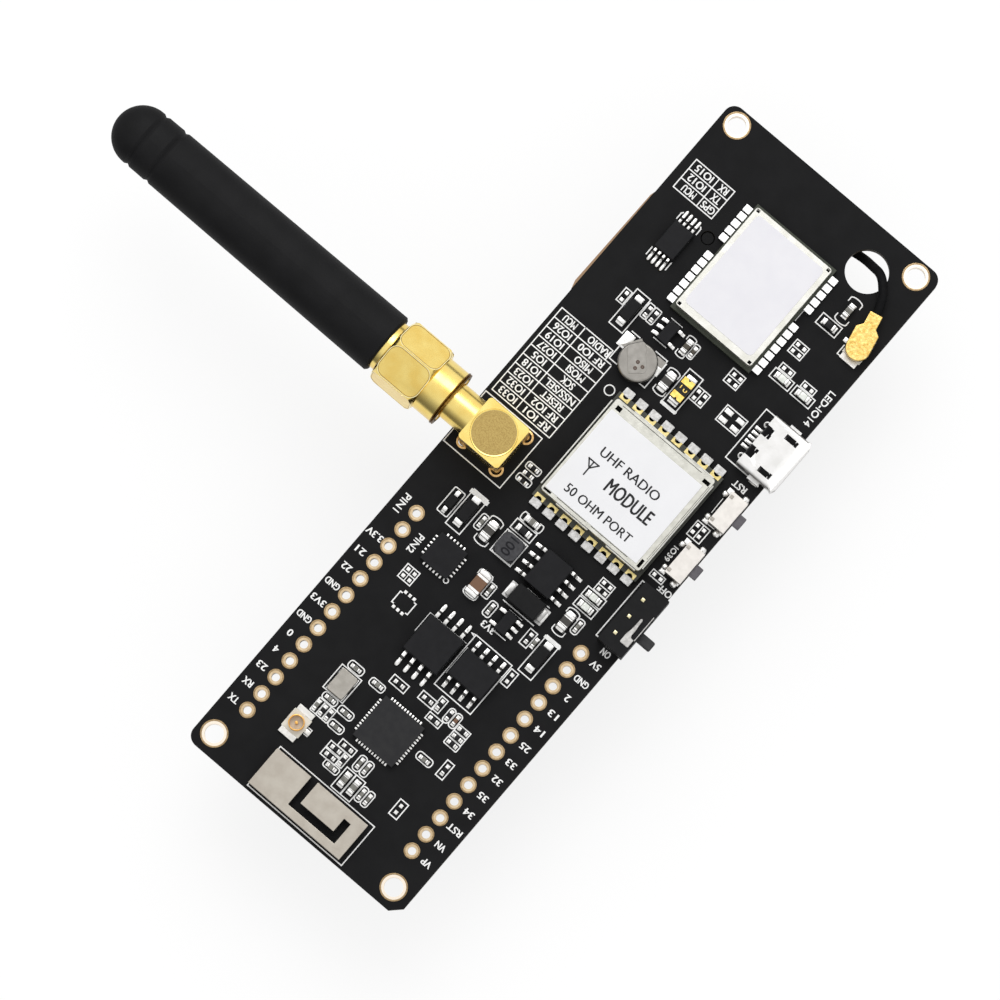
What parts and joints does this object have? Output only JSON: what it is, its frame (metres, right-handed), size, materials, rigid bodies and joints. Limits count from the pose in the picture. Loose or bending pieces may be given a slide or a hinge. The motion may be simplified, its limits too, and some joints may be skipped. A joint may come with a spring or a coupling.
{
  "type": "long range radio module",
  "caption": "Long circuit board with a shielded radio module, satellite receiver, screwed-on whip antenna, USB socket, push buttons, slide switch and battery holder underneath.",
  "frame": {"origin": "centre of the four corner holes, on the board's underside", "axes": "+X towards the USB socket and the buttons, +Y along the board towards the satellite receiver, +Z out of the component side"},
  "size_m": [0.0883, 0.099, 0.0246],
  "materials": {
    "solder_mask": "matt black solder mask over glass laminate",
    "gold_plating": "thin bright gold plating",
    "tin_plating": "reflowed tin",
    "capacitor_ceramic": "fired tan ceramic",
    "resistor_glaze": "black glaze on ceramic",
    "led_lens": "milky clear moulding",
    "chip_mould": "transfer moulded epoxy",
    "diode_mould": "transfer moulded epoxy",
    "inductor_ferrite": "pressed dark grey powder",
    "tantalum_mould": "moulded epoxy",
    "crystal_lid": "seam welded nickel lid",
    "cell_steel": "nickel plated steel",
    "strip_steel": "rolled strip",
    "module_laminate": "module laminate",
    "receiver_laminate": "green solder mask",
    "shield_steel": "tinned sheet",
    "label_paper": "plain pale label",
    "usb_steel": "nickel plated steel",
    "usb_plastic": "black moulding",
    "button_metal": "pale tinned cover",
    "button_plastic": "dark grey moulding",
    "switch_plastic": "black moulding",
    "connector_gold": "gold plated brass",
    "cap_gold": "dull matt gold",
    "insulator_white": "white fluoropolymer",
    "antenna_rubber": "matt moulded rubber",
    "coil_steel": "drawn wire",
    "lead_jacket": "black jacket",
    "socket_base": "pale moulding",
    "patch_ceramic": "fired beige ceramic",
    "patch_silver": "fired silver print",
    "antenna_sheet": "tinned stamped sheet",
    "holder_plastic": "black nylon moulding",
    "contact_nickel": "nickel plated spring steel"
  },
  "bodies": {
    "board": {"circuit_board": "solder_mask", "plated_eyelets": "gold_plating", "tinned_pads": "tin_plating", "ceramic_capacitors": "capacitor_ceramic", "resistors": "resistor_glaze", "status_leds": "led_lens", "component_ends": "tin_plating", "memory_chip": "chip_mould", "flash_chip": "chip_mould", "charger_chip": "chip_mould", "amplifier_chip": "chip_mould", "converter_chips": "chip_mould", "processor_chip": "chip_mould", "usb_bridge_chip": "chip_mould", "chip_leads": "tin_plating", "power_diode": "diode_mould", "small_diodes": "diode_mould", "inductor": "inductor_ferrite", "tantalum_capacitor": "tantalum_mould", "crystal": "crystal_lid", "coin_cell": "cell_steel", "coin_cell_strips": "strip_steel", "radio_board": "module_laminate", "radio_edge_pads": "gold_plating", "module_solder": "tin_plating", "radio_shield": "shield_steel", "radio_label": "label_paper", "receiver_board": "receiver_laminate", "receiver_can": "shield_steel", "receiver_label": "label_paper", "shielded_chips": "chip_mould", "usb_shell": "usb_steel", "usb_tongue": "usb_plastic", "usb_contacts": "gold_plating", "button_cases": "button_metal", "switch_body": "switch_plastic", "switch_pins": "gold_plating", "switch_frame": "usb_steel", "connector_body": "connector_gold", "connector_cap": "cap_gold", "connector_insulator": "insulator_white", "connector_contact": "connector_gold", "coax_sockets": "gold_plating", "socket_insulators": "socket_base", "coax_plug": "gold_plating", "antenna_lead": "lead_jacket", "patch_antenna": "patch_ceramic", "patch_foil": "patch_silver", "stamped_antenna": "antenna_sheet", "battery_holder": "holder_plastic", "battery_contacts": "contact_nickel"},
    "reset_button": {"reset_plunger": "button_plastic"},
    "user_button": {"user_plunger": "button_plastic"},
    "power_slider": {"switch_knob": "switch_plastic"},
    "antenna": {"antenna_ferrule": "connector_gold", "antenna_sleeve": "antenna_rubber", "antenna_coil": "coil_steel", "antenna_pin": "connector_gold", "antenna_insulator": "insulator_white"},
    "coupling_nut": {"antenna_nut": "connector_gold"}
  },
  "joints": [
    {"name": "reset_press", "type": "slide", "parent": "board", "child": "reset_button", "axis": [-1, 0, 0], "range_m": [0, 0.00025], "stiffness_N_per_m": 400},
    {"name": "user_press", "type": "slide", "parent": "board", "child": "user_button", "axis": [-1, 0, 0], "range_m": [0, 0.00025], "stiffness_N_per_m": 400},
    {"name": "power_slide", "type": "slide", "parent": "board", "child": "power_slider", "axis": [0, 1, 0], "range_m": [0, 0.002]},
    {"name": "antenna_travel", "type": "slide", "parent": "board", "child": "antenna", "axis": [-1, 0, 0], "range_m": [0, 0.0035]},
    {"name": "nut_turn", "type": "hinge", "parent": "antenna", "child": "coupling_nut", "pos_m": [-0.0235, 0.0004, 0.0053], "axis": [-1, 0, 0], "range_deg": [0, 1800]}
  ],
  "couplings": [
    {"joint": "nut_turn", "follows": "antenna_travel", "rad_per_m": 8905.3}
  ]
}
